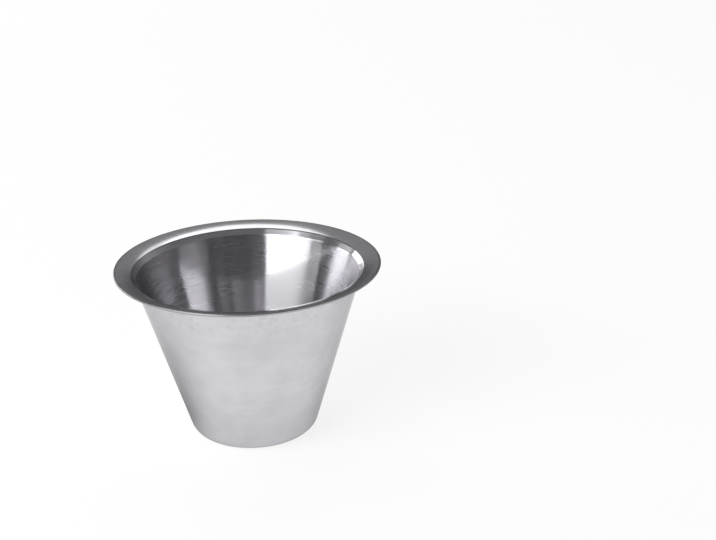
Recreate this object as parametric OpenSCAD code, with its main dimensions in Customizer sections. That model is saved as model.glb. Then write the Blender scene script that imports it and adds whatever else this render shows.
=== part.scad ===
// Deep drawn conical cup with a dished rim, pressed in one piece from a disc of sheet steel.
// Lengths are in millimetres. The cup turns about Z, and its base stands on Z = 0.

/* [Cup] */
// Height from the table to the top of the rim
height = 57; // [40:0.5:110]
// Diameter of the base, where the line of the outer wall meets the table
base_d = 39.4; // [26:0.2:56]
// Diameter of the mouth, where the line of the outer wall meets the height of the rim
mouth_d = 74.4; // [60:0.2:110]
// Thickness of the sheet, the same all over
sheet = 0.8; // [0.6:0.05:1.5]

/* [Base] */
// Inside radius of the bend between base and wall, as the nose of the punch leaves it
punch_r = 4.6; // [1.5:0.1:10]

/* [Rim] */
// How far the rim reaches out past the mouth
rim_w = 5.3; // [4:0.1:12]
// Slope of the rim, which rises towards its edge
rim_slope = 12.5; // [0:0.5:20]
// Inside radius of the bend under the rim, as the lip of the die leaves it
die_r = 3; // [1.5:0.1:7]
// Radius of the two deburred corners of the trimmed edge
edge_r = 0.25; // [0.1:0.05:0.35]

/* [Hidden] */

// Colour of the steel
steel = [0.78, 0.79, 0.80];
// Facets of a full turn on screen
turn_fn = 180;
// How far each rounding's arc passes the lines it blends, so that it always crosses them
overrun = 0.0005;

// Radius out to the trimmed edge of the rim
rim_r = mouth_d / 2 + rim_w;
// Slope of the wall, up from the table
wall_slope = 90 - atan((mouth_d - base_d) / 2 / height);

// Point at a distance and heading from the origin
function polar(distance, heading) = distance * [cos(heading), sin(heading)];

// Where the line through p at heading a crosses the line through q at heading b
function meet(p, a, q, b) =
    p + cross(q - p, polar(1, b)) / cross(polar(1, a), polar(1, b)) * polar(1, a);

// Centre of the rounded top corner of the trimmed edge, the highest of the cup
edge_top_centre = [rim_r - edge_r, height - edge_r];

// A point of each face of the sheet: the base at its axis, the wall at its foot, the rim at its edge
base_under = [0, 0];
base_top = [0, sheet];
wall_outer = [base_d / 2, 0];
wall_inner = wall_outer + polar(sheet, wall_slope + 90);
rim_top = edge_top_centre + polar(edge_r, rim_slope + 90);
rim_under = rim_top + polar(sheet, rim_slope - 90);
rim_edge = [rim_r, height];

// Centre of the bend at the base, inside the cup
punch_centre = meet(
    base_top + polar(punch_r, 90), 0,
    wall_inner + polar(punch_r, wall_slope + 90), wall_slope);
// Centre of the bend at the mouth, under the rim
die_centre = meet(
    wall_outer + polar(die_r, wall_slope - 90), wall_slope,
    rim_under + polar(die_r, rim_slope - 90), rim_slope);
// Centre of the rounded bottom corner of the trimmed edge
edge_low_centre = meet(
    rim_under + polar(edge_r, rim_slope + 90), rim_slope,
    edge_top_centre, 90);

// Section of the sheet folded with sharp corners: along the outside, then back along the inside
folded_sheet = [
    base_under,
    meet(base_under, 0, wall_outer, wall_slope),
    meet(wall_outer, wall_slope, rim_under, rim_slope),
    meet(rim_under, rim_slope, rim_edge, 90),
    meet(rim_top, rim_slope, rim_edge, 90),
    meet(wall_inner, wall_slope, rim_top, rim_slope),
    meet(base_top, 0, wall_inner, wall_slope),
    base_top,
];

// Area between an arc and the corner that it rounds. Its sides are radii at the headings where the
// arc meets the two lines, and its far sides run parallel to those lines at the given reach.
module spandrel(centre, r, reach, from, to) {
    half_turn = (to - from) / 2;
    difference() {
        polygon([
            centre,
            centre + polar(reach, from),
            centre + polar(reach / cos(half_turn), from + half_turn),
            centre + polar(reach, to),
        ]);
        translate(centre) circle(r = r + overrun, $fn = turn_fn);
    }
}

// Metal that fills the inside of a bend, from its arc to the middle of the sheet
module bend_fill(centre, r, from, to) {
    spandrel(centre, r, r + sheet / 2, from, to);
}

// Metal that an outside corner loses when it is rounded, with some air beyond the corner
module corner_cut(centre, r, from, to) {
    spandrel(centre, r, r + sheet, from, to);
}

// Section of the finished sheet on the right of the axis
module cup_section() {
    difference() {
        union() {
            polygon(folded_sheet);
            bend_fill(punch_centre, punch_r, -90, wall_slope - 90);
            bend_fill(die_centre, die_r, rim_slope + 90, wall_slope + 90);
        }
        corner_cut(punch_centre, punch_r + sheet, -90, wall_slope - 90);
        corner_cut(die_centre, die_r + sheet, rim_slope + 90, wall_slope + 90);
        corner_cut(edge_top_centre, edge_r, 0, rim_slope + 90);
        corner_cut(edge_low_centre, edge_r, rim_slope - 90, 0);
    }
}

// The cup: base, conical wall and rim as one sheet
module cup() {
    color(steel) rotate_extrude($fn = turn_fn) cup_section();
}

cup();
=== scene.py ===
"""Deep drawn steel cup: the pressed sheet as one fine mesh in brushed steel, on a pale floor."""

import logging
import math
from dataclasses import dataclass, field
from enum import Enum

import bpy
import numpy as np
from mathutils import Matrix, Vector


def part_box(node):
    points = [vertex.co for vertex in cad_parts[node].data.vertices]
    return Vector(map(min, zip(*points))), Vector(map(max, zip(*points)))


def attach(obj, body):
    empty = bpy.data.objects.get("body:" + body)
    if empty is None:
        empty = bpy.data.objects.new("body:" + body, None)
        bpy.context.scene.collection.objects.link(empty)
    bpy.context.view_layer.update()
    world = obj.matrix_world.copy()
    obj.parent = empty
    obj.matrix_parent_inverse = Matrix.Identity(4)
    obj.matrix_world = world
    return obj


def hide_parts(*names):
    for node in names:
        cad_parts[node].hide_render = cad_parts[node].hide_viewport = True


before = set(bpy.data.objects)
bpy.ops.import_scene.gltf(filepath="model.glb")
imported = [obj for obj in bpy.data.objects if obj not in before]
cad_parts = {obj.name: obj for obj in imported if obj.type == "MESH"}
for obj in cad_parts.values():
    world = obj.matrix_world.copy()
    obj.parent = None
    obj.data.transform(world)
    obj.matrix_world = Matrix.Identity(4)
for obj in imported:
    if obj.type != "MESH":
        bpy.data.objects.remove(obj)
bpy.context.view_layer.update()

log = logging.getLogger("drawn_cup")
MM = 0.001
MICRON = 1e-6
QUARTER = math.pi / 2
# Length added to a radius before something is divided by it, so the axis itself stays finite
AXIS_GUARD = 1e-6
WHITE = (1.0, 1.0, 1.0, 1.0)
BLACK = (0.0, 0.0, 0.0, 1.0)


class Zone(Enum):
    """Named stretches of the sheet's surface, in the order in which the section passes them."""

    UNDERSIDE = "underside"
    OUTSIDE = "outside"
    CUT = "cut"
    FACE = "face"
    EDGE = "edge"
    RIM = "rim"
    CREASE = "crease"
    NECK = "neck"
    SHOULDER = "shoulder"
    INSIDE = "inside"
    WELL = "well"


# ---------------------------------------------------------------- shader maths


@dataclass(frozen=True)
class Wire:
    """A value in a material: a socket of its node tree, with the usual operators on it."""

    bench: "Bench"
    socket: bpy.types.NodeSocket

    def _math(self, operation: str, *values: "Wire | float") -> "Wire":
        """One Math node on this value and any others."""
        return self.bench.node(
            "ShaderNodeMath", {"operation": operation}, dict(enumerate((self, *values)))
        )

    def __add__(self, other: "Wire | float") -> "Wire":
        """This value plus another."""
        return self._math("ADD", other)

    __radd__ = __add__

    def __mul__(self, other: "Wire | float") -> "Wire":
        """This value times another."""
        return self._math("MULTIPLY", other)

    __rmul__ = __mul__

    def __neg__(self) -> "Wire":
        """This value with its sign turned."""
        return self * -1.0

    def __sub__(self, other: "Wire | float") -> "Wire":
        """This value less another."""
        return self._math("SUBTRACT", other)

    def __rsub__(self, other: float) -> "Wire":
        """A number less this value."""
        return -self + other

    def __truediv__(self, other: "Wire | float") -> "Wire":
        """This value over another."""
        return self._math("DIVIDE", other)

    def root(self) -> "Wire":
        """The square root of this value."""
        return self._math("SQRT")

    def ramp(self, low: float, high: float) -> "Wire":
        """Eases from 0 to 1.

        Args:
            low: the value that gives 0.
            high: the value that gives 1, which may be the smaller of the two.

        Returns:
            3t^2 - 2t^3, where t runs from 0 at low to 1 at high and stays within them.
        """
        turned = high < low
        eased = self.bench.node(
            "ShaderNodeMapRange",
            {"interpolation_type": "SMOOTHSTEP"},
            {"Value": self, "From Min": min(low, high), "From Max": max(low, high)},
            "Result",
        )
        return 1.0 - eased if turned else eased


@dataclass(frozen=True)
class Bench:
    """Makes the nodes of one material, or of the surroundings."""

    tree: bpy.types.NodeTree

    def node(
        self,
        kind: str,
        settings: dict[str, object] | None = None,
        inputs: dict[str | int, object] | None = None,
        output: str | int = 0,
    ) -> Wire:
        """Adds one node.

        Args:
            kind: the node's type.
            settings: the node's own properties, which are set first.
            inputs: a number, colour or Wire for each socket, by its name or place.
            output: the name or place of the socket that is handed back.

        Returns:
            The chosen output as a Wire.
        """
        made = self.tree.nodes.new(kind)
        for name, value in (settings or {}).items():
            setattr(made, name, value)
        for name, value in (inputs or {}).items():
            if isinstance(value, Wire):
                self.tree.links.new(value.socket, made.inputs[name])
            else:
                made.inputs[name].default_value = value
        return Wire(self, made.outputs[output])

    def show(self, surface: Wire, end_kind: str = "ShaderNodeOutputMaterial") -> None:
        """Makes a shader the surface of the material, or the light of the surroundings."""
        end = self.tree.nodes.new(end_kind)
        self.tree.links.new(surface.socket, end.inputs["Surface"])

    def place(self) -> tuple[Wire, Wire, Wire]:
        """Reads where the point being shaded lies.

        Returns:
            Its three object coordinates.
        """
        spot = self.node("ShaderNodeTexCoord", output="Object")
        parts = self.node("ShaderNodeSeparateXYZ", inputs={0: spot})
        return tuple(Wire(self, socket) for socket in parts.socket.node.outputs)

    def trait(self, name: str) -> Wire:
        """A number that the mesh carries at each of its points."""
        return self.node("ShaderNodeAttribute", {"attribute_name": name}, output="Fac")

    def noise(self, x: Wire, y: Wire, z: Wire, detail: float, seed: float) -> Wire:
        """Smooth random numbers around a half.

        Args:
            x, y, z: where in the noise to read, with one lump to a unit of length.
            detail: how many finer layers are added.
            seed: a fourth coordinate that sets one pattern apart from another.

        Returns:
            Values from about 0.2 to 0.8.
        """
        spot = self.node("ShaderNodeCombineXYZ", inputs={0: x, 1: y, 2: z})
        return self.node(
            "ShaderNodeTexNoise",
            {"noise_dimensions": "4D"},
            {"Vector": spot, "W": seed, "Scale": 1.0, "Detail": detail, "Roughness": 0.55},
        )

    def blend(self, dark: tuple, light: tuple, share: Wire) -> Wire:
        """Mixes two colours.

        Args:
            dark: the colour where the share is 0, with its alpha.
            light: the colour where the share is 1, with its alpha.
            share: how far to go from dark to light.

        Returns:
            The mixed colour. A Mix node keeps its colour sockets at places 6, 7 and 2.
        """
        return self.node(
            "ShaderNodeMix", {"data_type": "RGBA"}, {0: share, 6: dark, 7: light}, output=2
        )


def fresh_bench(owner: bpy.types.Material | bpy.types.World) -> Bench:
    """Clears the nodes of a material or of the surroundings.

    Args:
        owner: what the nodes belong to.

    Returns:
        A bench to make the new ones on.
    """
    owner.use_nodes = True
    owner.node_tree.nodes.clear()
    return Bench(owner.node_tree)


def add_object(name: str, data: bpy.types.ID) -> bpy.types.Object:
    """Adds an object to the scene.

    Args:
        name: the object's name.
        data: its mesh, light or camera.

    Returns:
        The object, at the origin.
    """
    made = bpy.data.objects.new(name, data)
    bpy.context.scene.collection.objects.link(made)
    return made


# ---------------------------------------------------------------- the section of the sheet


def polar(distance: float, heading: float) -> np.ndarray:
    """The point at a distance and heading from the origin."""
    return distance * np.array([math.cos(heading), math.sin(heading)])


def cross(a: np.ndarray, b: np.ndarray) -> float:
    """The area that two flat vectors span."""
    return float(a[0] * b[1] - a[1] * b[0])


def meet(p: np.ndarray, a: float, q: np.ndarray, b: float) -> np.ndarray:
    """Where the line through p at heading a crosses the line through q at heading b."""
    along = cross(q - p, polar(1, b)) / cross(polar(1, a), polar(1, b))
    return p + along * polar(1, a)


@dataclass(frozen=True)
class SheetSection:
    """Half section of the drawn sheet.

    It runs from the axis under the base, up the outside, round the rim and down the inside to the
    axis again. Slopes are measured up from the table.

    Attributes:
        height: of the top of the rim.
        rim_r: out to the trimmed edge.
        base_r: out to where the line of the outer wall meets the table.
        mouth_r: out to where that line meets the height of the rim.
        sheet: thickness of the steel.
        punch_r: inside radius of the bend at the base.
        shoulder_drop: height of the rim above the corner that the shoulder rounds.
        shoulder_r: radius of the shoulder, between wall and neck.
        neck_slope: slope of the short neck.
        crease_r: radius of the crease, between neck and rim.
        rim_slope: slope of the rim at its trimmed edge.
        rim_crown_r: radius to which the rim is crowned.
        edge_r: radius of the two corners of the trimmed edge.
        arc_step: turn from point to point along a bend.
        tight_r: radius up to which a bend takes tight_step in its place.
        wide_r: radius from which on an arc takes steps of the length wide_step in its place.
        straight_step: about the distance between points on a straight stretch.
        end_step: distance of a straight stretch's outer points from its ends.
    """

    height: float = 57.0 * MM
    rim_r: float = 42.5 * MM
    base_r: float = 19.7 * MM
    mouth_r: float = 37.2 * MM
    sheet: float = 0.8 * MM
    punch_r: float = 4.6 * MM
    shoulder_drop: float = 3.1 * MM
    shoulder_r: float = 1.2 * MM
    neck_slope: float = math.radians(49.0)
    crease_r: float = 1.0 * MM
    rim_slope: float = math.radians(5.0)
    rim_crown_r: float = 16.4 * MM
    edge_r: float = 0.3 * MM
    arc_step: float = math.radians(2.5)
    tight_r: float = 1.0 * MM
    tight_step: float = math.radians(12.5)
    wide_r: float = 10.0 * MM
    wide_step: float = 0.5 * MM
    straight_step: float = 2.2 * MM
    end_step: float = 0.12 * MM

    @property
    def wall_slope(self) -> float:
        """Slope of the wall, up from the table."""
        return QUARTER - math.atan2(self.mouth_r - self.base_r, self.height)

    def arc(self, centre: np.ndarray, r: float, start: float, end: float) -> np.ndarray:
        """Places points along an arc: its centre plus r times (cos, sin) of even headings.

        Args:
            centre: the centre, as radius and height.
            r: the arc's radius.
            start: heading of the first point from the centre.
            end: heading of the last point.

        Returns:
            At least three points, with both ends among them.
        """
        if r <= self.tight_r:
            step = self.tight_step
        elif r < self.wide_r:
            step = self.arc_step
        else:
            step = self.wide_step / r
        heading = np.linspace(start, end, max(3, math.ceil(abs(end - start) / step) + 1))
        return centre + r * np.stack([np.cos(heading), np.sin(heading)], axis=1)

    def straight(self, a: np.ndarray, b: np.ndarray) -> np.ndarray:
        """Places points on the line from a to b: the start plus even shares of the way.

        Args:
            a: where the line starts.
            b: where it ends.

        Returns:
            Points between the two, the first and last close to the ends so that shading stays
            flat between bends. The ends themselves are left out.
        """
        length = float(np.linalg.norm(b - a))
        near = min(self.end_step, length / 4) / length
        share = np.linspace(0, 1, max(2, round(length / self.straight_step)) + 1)[1:-1]
        share = np.concatenate([[near], share, [1 - near]])[:, None]
        return a + share * (b - a)

    def outline(self) -> tuple[np.ndarray, list[Zone]]:
        """Points of the section in the order of the sheet's surface.

        Inside, the straight wall turns at the shoulder into a short straight neck, and the neck at
        the crease into the crowned rim, which has its slope at the trimmed edge. Arcs about
        centres that both faces of the sheet share blend them, so the thickness is the same all
        over. The centre of the crease lies crease_r from the neck, and its distance from the
        centre of the crown is the difference of the two radii: a line and a circle place it.

        Returns:
            The points as radius and height, and the zone of each.
        """
        up, wall, neck, rim = QUARTER, self.wall_slope, self.neck_slope, self.rim_slope

        # Centres of the bends, with the slope of the rim where the crease and the edge take over
        edge_top = np.array([self.rim_r - self.edge_r, self.height - self.edge_r])
        crown = edge_top + polar(self.rim_crown_r - self.edge_r, rim - up)
        foot_inner = np.array([self.base_r, 0.0]) + polar(self.sheet, wall + up)
        well = np.array([0.0, self.sheet])
        punch = meet(
            well + polar(self.punch_r, up), 0.0,
            foot_inner + polar(self.punch_r, wall + up), wall,
        )
        corner = meet(foot_inner, wall, np.array([0.0, self.height - self.shoulder_drop]), 0.0)
        shoulder = meet(
            corner + polar(self.shoulder_r, wall - up), wall,
            corner + polar(self.shoulder_r, neck - up), neck,
        )
        gauge = corner + polar(self.crease_r, neck - up) - crown
        rise = float(gauge @ polar(1, neck))
        reach = self.rim_crown_r - self.crease_r
        travel = -rise + math.sqrt(rise**2 - float(gauge @ gauge) + reach**2)
        crease = crown + gauge + travel * polar(1, neck)
        bend = math.atan2(*(crease - crown)[::-1]) - up
        low_reach = self.rim_crown_r - self.sheet + self.edge_r
        drop = math.sqrt(low_reach**2 - (edge_top - crown)[0] ** 2)
        edge_low = crown + np.array([(edge_top - crown)[0], drop])
        tuck = math.atan2(*(edge_low - crown)[::-1]) - up

        # Bends in the order of the surface: up the outside, round the edge and down the inside
        heel = self.arc(punch, self.punch_r + self.sheet, -up, wall - up)
        throat = self.arc(shoulder, self.shoulder_r - self.sheet, wall + up, neck + up)
        collar = self.arc(crease, self.crease_r - self.sheet, neck + up, bend + up)
        rim_under = self.arc(crown, self.rim_crown_r - self.sheet, bend + up, tuck + up)
        low = self.arc(edge_low, self.edge_r, tuck - up, 0.0)
        top = self.arc(edge_top, self.edge_r, 0.0, rim + up)
        rim_top = self.arc(crown, self.rim_crown_r, rim + up, bend + up)
        lip = self.arc(crease, self.crease_r, bend + up, neck + up)
        turn = self.arc(shoulder, self.shoulder_r, neck + up, wall + up)
        toe = self.arc(punch, self.punch_r, wall - up, -up)
        cut = self.straight(low[-1], top[0])
        start, end = np.array([0.0, 0.0]), np.array([0.0, self.sheet])
        runs = [
            (Zone.UNDERSIDE, start[None]),
            (Zone.UNDERSIDE, self.straight(start, heel[0])),
            (Zone.OUTSIDE, heel),
            (Zone.OUTSIDE, self.straight(heel[-1], throat[0])),
            (Zone.OUTSIDE, throat),
            (Zone.OUTSIDE, self.straight(throat[-1], collar[0])),
            (Zone.OUTSIDE, collar),
            (Zone.OUTSIDE, rim_under[1:-1]),
            (Zone.CUT, low),
            (Zone.CUT, cut[:1]),
            (Zone.FACE, cut[1:]),
            (Zone.EDGE, top),
            (Zone.RIM, rim_top[1:-1]),
            (Zone.RIM, lip[:1]),
            (Zone.CREASE, lip[1:]),
            (Zone.NECK, self.straight(lip[-1], turn[0])),
            (Zone.SHOULDER, turn),
            (Zone.INSIDE, self.straight(turn[-1], toe[0])),
            (Zone.INSIDE, toe),
            (Zone.WELL, self.straight(toe[-1], end)),
            (Zone.WELL, end[None]),
        ]
        points = np.concatenate([run for _, run in runs])
        zones = [zone for zone, run in runs for _ in run]
        return points, zones


# ---------------------------------------------------------------- finish


@dataclass(frozen=True)
class Spot:
    """What a material reads at the point it shades.

    Attributes:
        x, y, z: the point's place.
        east, north: the cosine and sine of its heading round the axis.
        along: how far round the section of the sheet it lies.
        brushed, rim, shoulder: how far it belongs to each, from 0 to 1; edge: how far painted shade,
            partly the rough cut, darkens it.
    """

    x: Wire
    y: Wire
    z: Wire
    east: Wire
    north: Wire
    along: Wire
    brushed: Wire
    rim: Wire
    edge: Wire
    shoulder: Wire

    @classmethod
    def read(cls, bench: Bench) -> "Spot":
        """Reads the point's place and what the mesh carries there.

        Args:
            bench: makes the nodes.

        Returns:
            The readings.
        """
        x, y, z = bench.place()
        radius = (x * x + y * y).root() + AXIS_GUARD
        names = ("along", "brushed", "rim", "edge", "shoulder")
        return cls(x, y, z, x / radius, y / radius, *(bench.trait(name) for name in names))


@dataclass(frozen=True)
class TurnedLines:
    """Uneven lines round the cup, as turning and polishing leave them.

    Attributes:
        breaks: how often a line changes on its way round.
        closeness: lines to a metre of the section.
        detail: how many finer layers are added.
        seed: sets one pattern apart from another.
        depth: height of the relief in microns on the smooth outside.
        brushed_depth: what is added to it where the steel is brushed.
    """

    breaks: float
    closeness: float
    detail: float
    seed: float
    depth: float
    brushed_depth: float

    def draw(self, bench: Bench, spot: Spot) -> Wire:
        """Noise over heading and section, stretched along the first."""
        around = (spot.east * self.breaks, spot.north * self.breaks)
        return bench.noise(*around, spot.along * self.closeness, self.detail, self.seed)

    def relief(self, lines: Wire, spot: Spot) -> Wire:
        """The lines' height in microns, which depends on how far the steel is brushed."""
        return lines * (spot.brushed * self.brushed_depth + self.depth)


@dataclass(frozen=True)
class Mottling:
    """Soft lumps in no direction.

    Attributes:
        closeness: lumps to a metre.
        detail: how many finer layers are added.
        seed: sets one pattern apart from another.
    """

    closeness: float
    detail: float
    seed: float

    def draw(self, bench: Bench, spot: Spot) -> Wire:
        """Noise over the point's place, the same in all directions."""
        place = (axis * self.closeness for axis in (spot.x, spot.y, spot.z))
        return bench.noise(*place, self.detail, self.seed)


@dataclass(frozen=True)
class ToolNicks:
    """Short upright marks side by side on the shoulder, in one narrow patch at the back.

    Attributes:
        start, end: where the patch begins and ends from left to right.
        fade: how far its ends take to fade.
        back: how far behind the axis it is in full.
        closeness: marks to a metre from left to right.
        height_closeness: how often a mark changes to a metre of the section.
        seed: sets the pattern apart from others.
        darkness: share of the colour that a mark takes away.
    """

    start: float = -1.2 * MM
    end: float = 4.0 * MM
    fade: float = 0.6 * MM
    back: float = 10.0 * MM
    closeness: float = 1700.0
    height_closeness: float = 90.0
    seed: float = 6.0
    darkness: float = 0.45

    def mark(self, bench: Bench, spot: Spot) -> Wire:
        """Works out how much colour the marks leave.

        Args:
            bench: makes the nodes.
            spot: the point being shaded.

        Returns:
            1 less the darkness, times the patch, the shoulder and the marks themselves.
        """
        patch = (
            spot.x.ramp(self.start, self.start + self.fade)
            * spot.x.ramp(self.end, self.end - self.fade)
            * spot.y.ramp(0.0, self.back)
        )
        across, upward = spot.x * self.closeness, spot.along * self.height_closeness
        marks = bench.noise(across, spot.north, upward, 1.0, self.seed).ramp(0.48, 0.6)
        return 1.0 - marks * patch * spot.shoulder * self.darkness


@dataclass(frozen=True)
class Smudges:
    """Faint smudges on the outside, in full just under the rim.

    Attributes:
        pattern: the shape of the smudges.
        low: height at which they begin.
        high: height from which on they are in full.
        darkness: share of the colour that they take away.
    """

    pattern: Mottling = Mottling(480.0, 2.0, 7.0)
    low: float = 43.0 * MM
    high: float = 51.0 * MM
    darkness: float = 0.07

    def mark(self, bench: Bench, spot: Spot) -> Wire:
        """Works out how much colour the smudges leave.

        Args:
            bench: makes the nodes.
            spot: the point being shaded.

        Returns:
            1 less the darkness, times the height, the outside and the smudges themselves.
        """
        smudges = self.pattern.draw(bench, spot).ramp(0.48, 0.66)
        outside = (1.0 - spot.brushed) * (1.0 - spot.rim)
        return 1.0 - smudges * spot.z.ramp(self.low, self.high) * outside * self.darkness


@dataclass(frozen=True)
class BrushedSteel:
    """Satin stainless steel: polished outside, and brushed round the axis inside.

    Attributes:
        dark, light: the colours between which the steel is mottled.
        grazing: tint of what it mirrors at a low angle.
        polish: roughness of the polished steel.
        rim_roughness, edge_roughness: what is added to it on the rim and at the trimmed edge.
        brush: roughness of the brushed steel.
        polish_stretch, brush_stretch: how far each draws a highlight out across its lines.
        brushed_base, brushed_share: share of brushed steel outside, and what is added inside.
        edge_shade_and_rough_cut: share of the colour lost to painted shade on the edge corners,
            crease and shoulder, partly the rough cut.
        hair, rings, bands: lines round the cup, from the finest to the broadest.
        cloud, haze: mottling, fine and broad.
        cloud_depth: height of the fine mottling in microns.
    """

    name: str = "brushed_steel"
    dark: tuple = (0.585, 0.576, 0.603)
    light: tuple = (0.66, 0.65, 0.68)
    grazing: tuple = (0.7, 0.7, 0.7)
    polish: float = 0.105
    rim_roughness: float = 0.06
    edge_roughness: float = 0.1
    brush: float = 0.28
    polish_stretch: float = 0.2
    brush_stretch: float = 0.85
    brushed_base: float = 0.04
    brushed_share: float = 0.66
    edge_shade_and_rough_cut: float = 0.6
    hair: TurnedLines = TurnedLines(2.0, 4200.0, 2.0, 1.0, depth=0.075, brushed_depth=0.125)
    rings: TurnedLines = TurnedLines(1.3, 800.0, 3.0, 2.0, depth=0.56, brushed_depth=1.04)
    bands: TurnedLines = TurnedLines(0.7, 190.0, 2.0, 3.0, depth=1.4, brushed_depth=1.6)
    cloud: Mottling = Mottling(130.0, 3.0, 4.0)
    haze: Mottling = Mottling(45.0, 2.0, 5.0)
    cloud_depth: float = 2.0
    nicks: ToolNicks = ToolNicks()
    smudges: Smudges = Smudges()

    def make(self) -> bpy.types.Material:
        """Builds the material.

        Returns:
            A mix of two metals: a polished one, and one that spreads light across the brush lines.
        """
        material = bpy.data.materials.new(self.name)
        bench = fresh_bench(material)
        spot = Spot.read(bench)
        hair, rings, bands, cloud, haze = (
            pattern.draw(bench, spot)
            for pattern in (self.hair, self.rings, self.bands, self.cloud, self.haze)
        )
        tone = cloud * 0.4 + haze * 0.4 + rings * 0.2
        grain = (rings - 0.5) * 0.10 + (hair - 0.5) * 0.08 + (haze - 0.5) * 0.08
        height = (
            self.rings.relief(rings, spot)
            + self.hair.relief(hair, spot)
            + self.bands.relief(bands, spot)
            + cloud * self.cloud_depth
        )
        normal = bench.node(
            "ShaderNodeBump", inputs={"Strength": 1.0, "Distance": MICRON, "Height": height}
        )
        polished = bench.node(
            "ShaderNodeBsdfPrincipled",
            inputs={
                "Base Color": self.colour(bench, spot, tone),
                "Metallic": 1.0,
                "Roughness": (
                    grain
                    + spot.edge * self.edge_roughness
                    + spot.rim * self.rim_roughness
                    + self.polish
                ),
                "Specular Tint": (*self.grazing, 1.0),
                "Anisotropic": self.polish_stretch,
                "Anisotropic Rotation": 0.25,
                "Normal": normal,
            },
        )
        brushed = bench.node(
            "ShaderNodeBsdfAnisotropic",
            {"distribution": "MULTI_GGX"},
            {
                "Color": (*self.light, 1.0),
                "Roughness": grain * 0.5 + self.brush,
                "Anisotropy": self.brush_stretch,
                "Normal": normal,
            },
        )
        share = spot.brushed * self.brushed_share + self.brushed_base
        bench.show(bench.node("ShaderNodeMixShader", inputs={0: share, 1: polished, 2: brushed}))
        return material

    def colour(self, bench: Bench, spot: Spot, tone: Wire) -> Wire:
        """Mottles the steel, paints shade on its edge corners, crease and shoulder, and darkens its
        nicks and smudges.

        Args:
            bench: makes the nodes.
            spot: the point being shaded.
            tone: the mottling, around a half.

        Returns:
            The mottled colour times what the painted shade, the rough cut, the nicks and the smudges
            leave of it.
        """
        clean = bench.blend((*self.dark, 1.0), (*self.light, 1.0), tone.ramp(0.35, 0.65))
        # First painted shade on the edge corners, crease and shoulder, partly the rough cut, then
        # the nicks and smudges.
        left = (
            (1.0 - spot.edge * self.edge_shade_and_rough_cut)
            * self.nicks.mark(bench, spot)
            * self.smudges.mark(bench, spot)
        )
        return bench.node(
            "ShaderNodeVectorMath",
            {"operation": "MULTIPLY"},
            {0: clean, 1: bench.blend(BLACK, WHITE, left)},
        )


# ---------------------------------------------------------------- the cup


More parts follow.
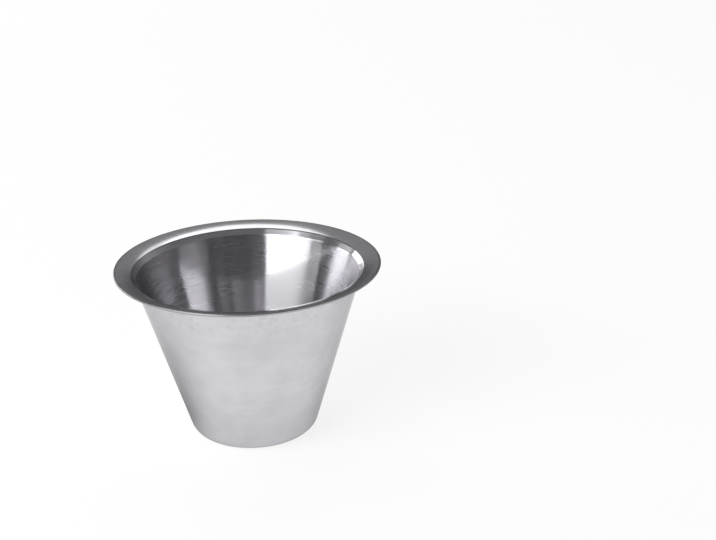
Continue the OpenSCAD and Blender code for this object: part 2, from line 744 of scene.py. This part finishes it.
@dataclass
class DrawnCup:
    """The whole cup, one sheet of steel turned about its axis.

    Attributes:
        section: half section of the sheet.
        sides: points round each ring of the surface.
        brushing: how far each zone is brushed, where it is at all.
        shade_and_rough_cut_by_zone: how far each zone is darkened and roughened, where at all:
            painted shade on the edge corners, crease and shoulder, partly the rough cut.
    """

    section: SheetSection = field(default_factory=SheetSection)
    sides: int = 360
    brushing: dict[Zone, float] = field(default_factory=lambda: {
        Zone.NECK: 0.5, Zone.SHOULDER: 0.8, Zone.INSIDE: 1.0, Zone.WELL: 1.0,
    })
    # Painted shade: both corners of the trimmed edge, the crease and the shoulder are darkened in
    # colour, the cut partly for its rough steel.
    shade_and_rough_cut_by_zone: dict[Zone, float] = field(default_factory=lambda: {
        Zone.CUT: 0.8, Zone.EDGE: 1.0, Zone.CREASE: 0.7, Zone.SHOULDER: 0.3,
    })
    name: str = "drawn_cup"

    def surface(self) -> tuple[np.ndarray, np.ndarray, dict[str, np.ndarray]]:
        """Works out the closed surface of the sheet.

        A point at radius r and height z of the section, turned by the angle a, is
        (r cos a, r sin a, z). Both ends of the section lie on the axis, where a fan closes them.

        Returns:
            The points, the corners of all the faces with -1 for a triangle's fourth, and the
            numbers that each point carries.
        """
        outline, zones = self.section.outline()
        rings = outline[1:-1]
        angle = np.arange(self.sides) * (2 * math.pi / self.sides)
        r, z = rings[:, :1], rings[:, 1:]
        grid = np.stack(
            [r * np.cos(angle), r * np.sin(angle), np.broadcast_to(z, (len(rings), self.sides))],
            axis=2,
        )
        ends = np.array([[0.0, 0.0, outline[0, 1]], [0.0, 0.0, outline[-1, 1]]])
        points = np.concatenate([grid.reshape(-1, 3), ends])

        index = np.arange(len(rings) * self.sides).reshape(len(rings), self.sides)
        after = np.roll(index, -1, axis=1)
        quads = np.stack([index[:-1], after[:-1], after[1:], index[1:]], axis=2).reshape(-1, 4)
        under, inner = len(points) - 2, len(points) - 1
        none = np.full(self.sides, -1)
        fan_under = np.stack([np.full(self.sides, under), after[0], index[0], none], axis=1)
        fan_inner = np.stack([index[-1], after[-1], np.full(self.sides, inner), none], axis=1)
        faces = np.concatenate([quads, fan_under, fan_inner])

        steps = np.linalg.norm(np.diff(outline, axis=0), axis=1)
        travelled = np.concatenate([[0.0], np.cumsum(steps)])
        traits = {
            "along": travelled,
            "rim": np.array([zone in (Zone.RIM, Zone.EDGE) for zone in zones], float),
            "brushed": np.array([self.brushing.get(zone, 0.0) for zone in zones]),
            # Each point carries as edge how far painted shade, partly the rough cut, darkens it.
            "edge": np.array([self.shade_and_rough_cut_by_zone.get(zone, 0.0) for zone in zones]),
            "shoulder": np.array([zone is Zone.SHOULDER for zone in zones], float),
        }
        carried = {
            name: np.concatenate([np.repeat(value[1:-1], self.sides), value[[0, -1]]])
            for name, value in traits.items()
        }
        return points, faces, carried

    def build(self) -> bpy.types.Object:
        """Puts the surface into a mesh.

        Returns:
            The cup as one object at the origin.
        """
        points, faces, carried = self.surface()
        corners = faces[faces >= 0]
        corner_counts = np.where(faces[:, 3] < 0, 3, 4)
        mesh = bpy.data.meshes.new(self.name)
        mesh.vertices.add(len(points))
        mesh.vertices.foreach_set("co", points.ravel())
        mesh.loops.add(len(corners))
        mesh.loops.foreach_set("vertex_index", corners)
        mesh.polygons.add(len(faces))
        mesh.polygons.foreach_set("loop_start", np.concatenate([[0], np.cumsum(corner_counts)[:-1]]))
        mesh.polygons.foreach_set("use_smooth", np.ones(len(faces), bool))
        for name, value in carried.items():
            layer = mesh.attributes.new(name, "FLOAT", "POINT")
            layer.data.foreach_set("value", value.astype(np.float32))
        mesh.update(calc_edges=True)
        mesh.validate()
        return add_object(self.name, mesh)

    def dress(self, cup: bpy.types.Object, steel: BrushedSteel) -> None:
        """Gives the cup its finish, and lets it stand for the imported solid.

        Args:
            cup: the object that build made.
            steel: the finish.
        """
        cup.data.materials.append(steel.make())
        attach(cup, "root")
        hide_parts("cup")


# ---------------------------------------------------------------- studio


@dataclass(frozen=True)
class Softbox:
    """A flat soft light that hangs around the cup.

    Attributes:
        name: the light's name.
        azimuth: degrees from the camera's side towards the left.
        elevation: degrees above the table.
        distance: from the middle of the base.
        width, length: size of the lit face.
        radiance: how bright the face is.
        spin: degrees by which it is turned in its own plane.
        upright: keeps its sides plumb, where any other faces the cup squarely.
    """

    name: str
    azimuth: float
    elevation: float
    distance: float
    width: float
    length: float
    radiance: float
    spin: float = 0.0
    upright: bool = False

    def build(self) -> bpy.types.Object:
        """Hangs the light, out of the camera's sight.

        Returns:
            An area light whose watts give its face the stated radiance.
        """
        lamp = bpy.data.lights.new(self.name, "AREA")
        lamp.shape = "RECTANGLE"
        lamp.size, lamp.size_y = self.width, self.length
        lamp.energy = self.radiance * math.pi * self.width * self.length
        light = add_object(self.name, lamp)
        light.visible_camera = False
        rise = math.radians(self.elevation)
        reach, lift = self.distance * math.cos(rise), self.distance * math.sin(rise)
        light.matrix_world = (
            Matrix.Rotation(-math.radians(self.azimuth), 4, "Z")
            @ Matrix.Translation((0.0, -reach, lift))
            @ Matrix.Rotation(QUARTER - (0.0 if self.upright else rise), 4, "X")
            @ Matrix.Rotation(math.radians(self.spin), 4, "Z")
        )
        return light


def circle(r: float, z: float, sides: int) -> np.ndarray:
    """Places points round the axis: (r cos a, r sin a, z) for even turns of the angle a.

    Args:
        r: the circle's radius.
        z: its height.
        sides: the number of points.

    Returns:
        One row to a point, anticlockwise from above.
    """
    angle = np.linspace(0, 2 * math.pi, sides + 1)[:-1]
    return np.column_stack([r * np.cos(angle), r * np.sin(angle), np.full(sides, z)])


@dataclass(frozen=True)
class Table:
    """A round, pale, softly glowing table top just under the cup, see-through from below.

    Attributes:
        radius: of the table top.
        drop: how far it lies under the foot, so that the two never share a plane.
        sides: corners of its outline.
        grey: how much light it throws back.
        glow: how much light it gives off itself.
    """

    radius: float = 5.0
    drop: float = 0.02 * MM
    sides: int = 96
    grey: float = 0.2
    glow: float = 0.83

    def build(self) -> bpy.types.Object:
        """Lays the table.

        Returns:
            One flat face that looks up.
        """
        mesh = bpy.data.meshes.new("floor")
        points = circle(self.radius, -self.drop, self.sides)
        mesh.from_pydata(points.tolist(), [], [list(range(self.sides))])
        mesh.update()
        mesh.materials.append(self.finish())
        table = add_object("floor", mesh)
        return table

    def finish(self) -> bpy.types.Material:
        """Makes the material.

        Returns:
            A dull glowing white from above, and clear from below.
        """
        material = bpy.data.materials.new("table_top")
        bench = fresh_bench(material)
        top = bench.node(
            "ShaderNodeBsdfPrincipled",
            inputs={
                "Base Color": (self.grey, self.grey, self.grey, 1.0),
                "Roughness": 0.9,
                "Specular IOR Level": 0.0,
                "Emission Color": WHITE,
                "Emission Strength": self.glow,
            },
        )
        clear = bench.node("ShaderNodeBsdfTransparent")
        below = bench.node("ShaderNodeNewGeometry", output="Backfacing")
        bench.show(bench.node("ShaderNodeMixShader", inputs={0: below, 1: top, 2: clear}))
        return material


@dataclass(frozen=True)
class FootShade:
    """A sheer dark ring on the table round the base, which only mirrors see.

    It stands for the soft shadow that the wall mirrors near the base. It has two layers: a wide
    one, densest behind the cup on the left, and a close one that is the same all round.

    Attributes:
        inner_r, outer_r: where the ring begins and ends.
        drop: how far it lies under the foot, above the table.
        sides: corners of its outline.
        wide_full_r: radius within which the wide layer is in full. It fades out to outer_r.
        back_density, left_density: of the wide layer behind the cup, and what the left adds.
        close_full_r, close_outer_r: radii between which the close layer fades.
        close_density: of the close layer.
    """

    inner_r: float = 16.0 * MM
    outer_r: float = 98.0 * MM
    drop: float = 0.01 * MM
    sides: int = 96
    wide_full_r: float = 22.0 * MM
    back_density: float = 0.12
    left_density: float = 0.40
    close_full_r: float = 20.0 * MM
    close_outer_r: float = 45.0 * MM
    close_density: float = 0.14

    def build(self) -> bpy.types.Object:
        """Lays the ring.

        Returns:
            A flat ring of quads that look up, seen in mirrors alone.
        """
        inner, outer = (circle(r, -self.drop, self.sides) for r in (self.inner_r, self.outer_r))
        index = np.arange(self.sides)
        after = np.roll(index, -1)
        faces = np.stack([index, index + self.sides, after + self.sides, after], axis=1)
        mesh = bpy.data.meshes.new("shade")
        mesh.from_pydata(np.concatenate([inner, outer]).tolist(), [], faces.tolist())
        mesh.update()
        mesh.materials.append(self.finish())
        shade = add_object("shade", mesh)
        shade.visible_camera = shade.visible_diffuse = shade.visible_shadow = False
        return shade

    def finish(self) -> bpy.types.Material:
        """Makes the material.

        Returns:
            Clear, with as much black mixed in as the two layers together have density.
        """
        material = bpy.data.materials.new("sheer_shade")
        bench = fresh_bench(material)
        x, y, _ = bench.place()
        radius = (x * x + y * y).root() + AXIS_GUARD
        behind, left = (y / radius).ramp(-0.8, 0.5), (x / radius).ramp(0.4, -0.6)
        wide = radius.ramp(self.outer_r, self.wide_full_r)
        close = radius.ramp(self.close_outer_r, self.close_full_r)
        density = (
            behind * (left * self.left_density + self.back_density) * wide
            + close * self.close_density
        )
        clear = bench.node("ShaderNodeBsdfTransparent")
        dark = bench.node("ShaderNodeBsdfDiffuse", inputs={"Color": BLACK})
        bench.show(bench.node("ShaderNodeMixShader", inputs={0: density, 1: clear, 2: dark}))
        return material


@dataclass(frozen=True)
class Room:
    """The grey room around the table.

    It is darker on the camera's side, and lighter behind the cup and overhead. Below the horizon
    it is as pale as the table, so the cup looks the same without one.

    Attributes:
        near_grey: brightness on the camera's side.
        far_grey: brightness behind the cup, high up.
        low_share: share of what far_grey adds that is left near the horizon.
        top_grey: what is added overhead.
        floor_white: brightness below the horizon.
    """

    near_grey: float = 0.07
    far_grey: float = 0.3
    low_share: float = 0.25
    top_grey: float = 0.1
    floor_white: float = 0.9

    def build(self) -> None:
        """Fills the room.

        A direction's parts along the table, away from the camera, and upwards set its grey. The
        ramps name the sines of the angles between which it changes.
        """
        world = bpy.data.worlds.new("surroundings")
        bpy.context.scene.world = world
        bench = fresh_bench(world)
        heading = bench.node("ShaderNodeTexCoord", output="Generated")
        depth, rise = (
            bench.node(
                "ShaderNodeVectorMath", {"operation": "DOT_PRODUCT"}, {0: heading, 1: axis}, "Value"
            )
            for axis in ((0.0, 1.0, 0.0), (0.0, 0.0, 1.0))
        )
        high = rise.ramp(0.14, 0.42) * (1.0 - self.low_share) + self.low_share
        grey = (
            depth.ramp(-0.3, 0.8) * high * (self.far_grey - self.near_grey)
            + rise.ramp(0.7, 0.86) * self.top_grey
            + self.near_grey
        )
        below = rise.ramp(-0.01, -0.03)
        strength = grey + below * (self.floor_white - grey)
        light = bench.node(
            "ShaderNodeBackground", inputs={"Color": WHITE, "Strength": strength}
        )
        bench.show(light, "ShaderNodeOutputWorld")


@dataclass(frozen=True)
class Studio:
    """Everything around the cup apart from the camera."""

    table: Table = Table()
    shade: FootShade = FootShade()
    room: Room = Room()
    softboxes: tuple[Softbox, ...] = (
        Softbox(
            "key", azimuth=47.3, elevation=40.0, distance=1.6,
            width=1.17, length=1.57, radiance=2.9, upright=True,
        ),
        Softbox(
            "strip", azimuth=57.8, elevation=30.3, distance=1.3,
            width=1.48, length=0.20, radiance=7.2, spin=9.1,
        ),
        Softbox(
            "canopy", azimuth=175.7, elevation=62.0, distance=1.7,
            width=1.25, length=0.66, radiance=1.38,
        ),
        Softbox(
            "card_left", azimuth=122.0, elevation=16.1, distance=1.4,
            width=0.54, length=0.336, radiance=5.4,
        ),
        Softbox(
            "card_low", azimuth=153.3, elevation=12.1, distance=1.4,
            width=0.71, length=0.39, radiance=3.5, spin=30.0,
        ),
        Softbox(
            "card_back", azimuth=-150.4, elevation=43.4, distance=1.4,
            width=0.57, length=0.53, radiance=0.93,
        ),
    )

    def build(self) -> None:
        """Builds the table, the shade, the room and the lights in turn."""
        self.table.build()
        self.shade.build()
        self.room.build()
        log.info("table, shade and room")
        for softbox in self.softboxes:
            softbox.build()
            log.info("light %s", softbox.name)
        bpy.context.scene.view_settings.view_transform = "Standard"


@dataclass(frozen=True)
class Viewpoint:
    """The camera's stand: in front of the cup, turned, tilted and slightly rolled.

    Attributes:
        distance: from the axis of the cup.
        height: above the table.
        turn: about the upright, anticlockwise from above.
        tilt: upwards from level.
        roll: clockwise about the line of sight.
        lens: focal length in millimetres.
        sensor: width of the sensor in millimetres.
        nearest, farthest: what lies between these distances is seen.
    """

    distance: float = 477.425 * MM
    height: float = 237.792 * MM
    turn: float = math.radians(-4.2171)
    tilt: float = math.radians(-21.1244)
    roll: float = math.radians(1.3725)
    lens: float = 80.45
    sensor: float = 36.0
    nearest: float = 0.01
    farthest: float = 20.0

    def build(self) -> bpy.types.Object:
        """Sets up the camera.

        Returns:
            The camera, which is made the scene's own.
        """
        data = bpy.data.cameras.new("camera")
        data.sensor_width, data.lens = self.sensor, self.lens
        data.clip_start, data.clip_end = self.nearest, self.farthest
        camera = add_object("camera", data)
        camera.matrix_world = (
            Matrix.Translation((0.0, -self.distance, self.height))
            @ Matrix.Rotation(self.turn, 4, "Z")
            @ Matrix.Rotation(QUARTER + self.tilt, 4, "X")
            @ Matrix.Rotation(-self.roll, 4, "Z")
        )
        bpy.context.scene.camera = camera
        return camera


def main() -> None:
    """Builds the cup, the studio and the camera in turn."""
    logging.basicConfig(level=logging.INFO, format="%(name)s: %(message)s")
    _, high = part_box("cup")
    cup = DrawnCup(SheetSection(height=high.z, rim_r=min(high.x, high.y)))
    piece = cup.build()
    cup.dress(piece, BrushedSteel())
    log.info("%s: %d points", piece.name, len(piece.data.vertices))
    Studio().build()
    Viewpoint().build()


if __name__ == "__main__":
    main()
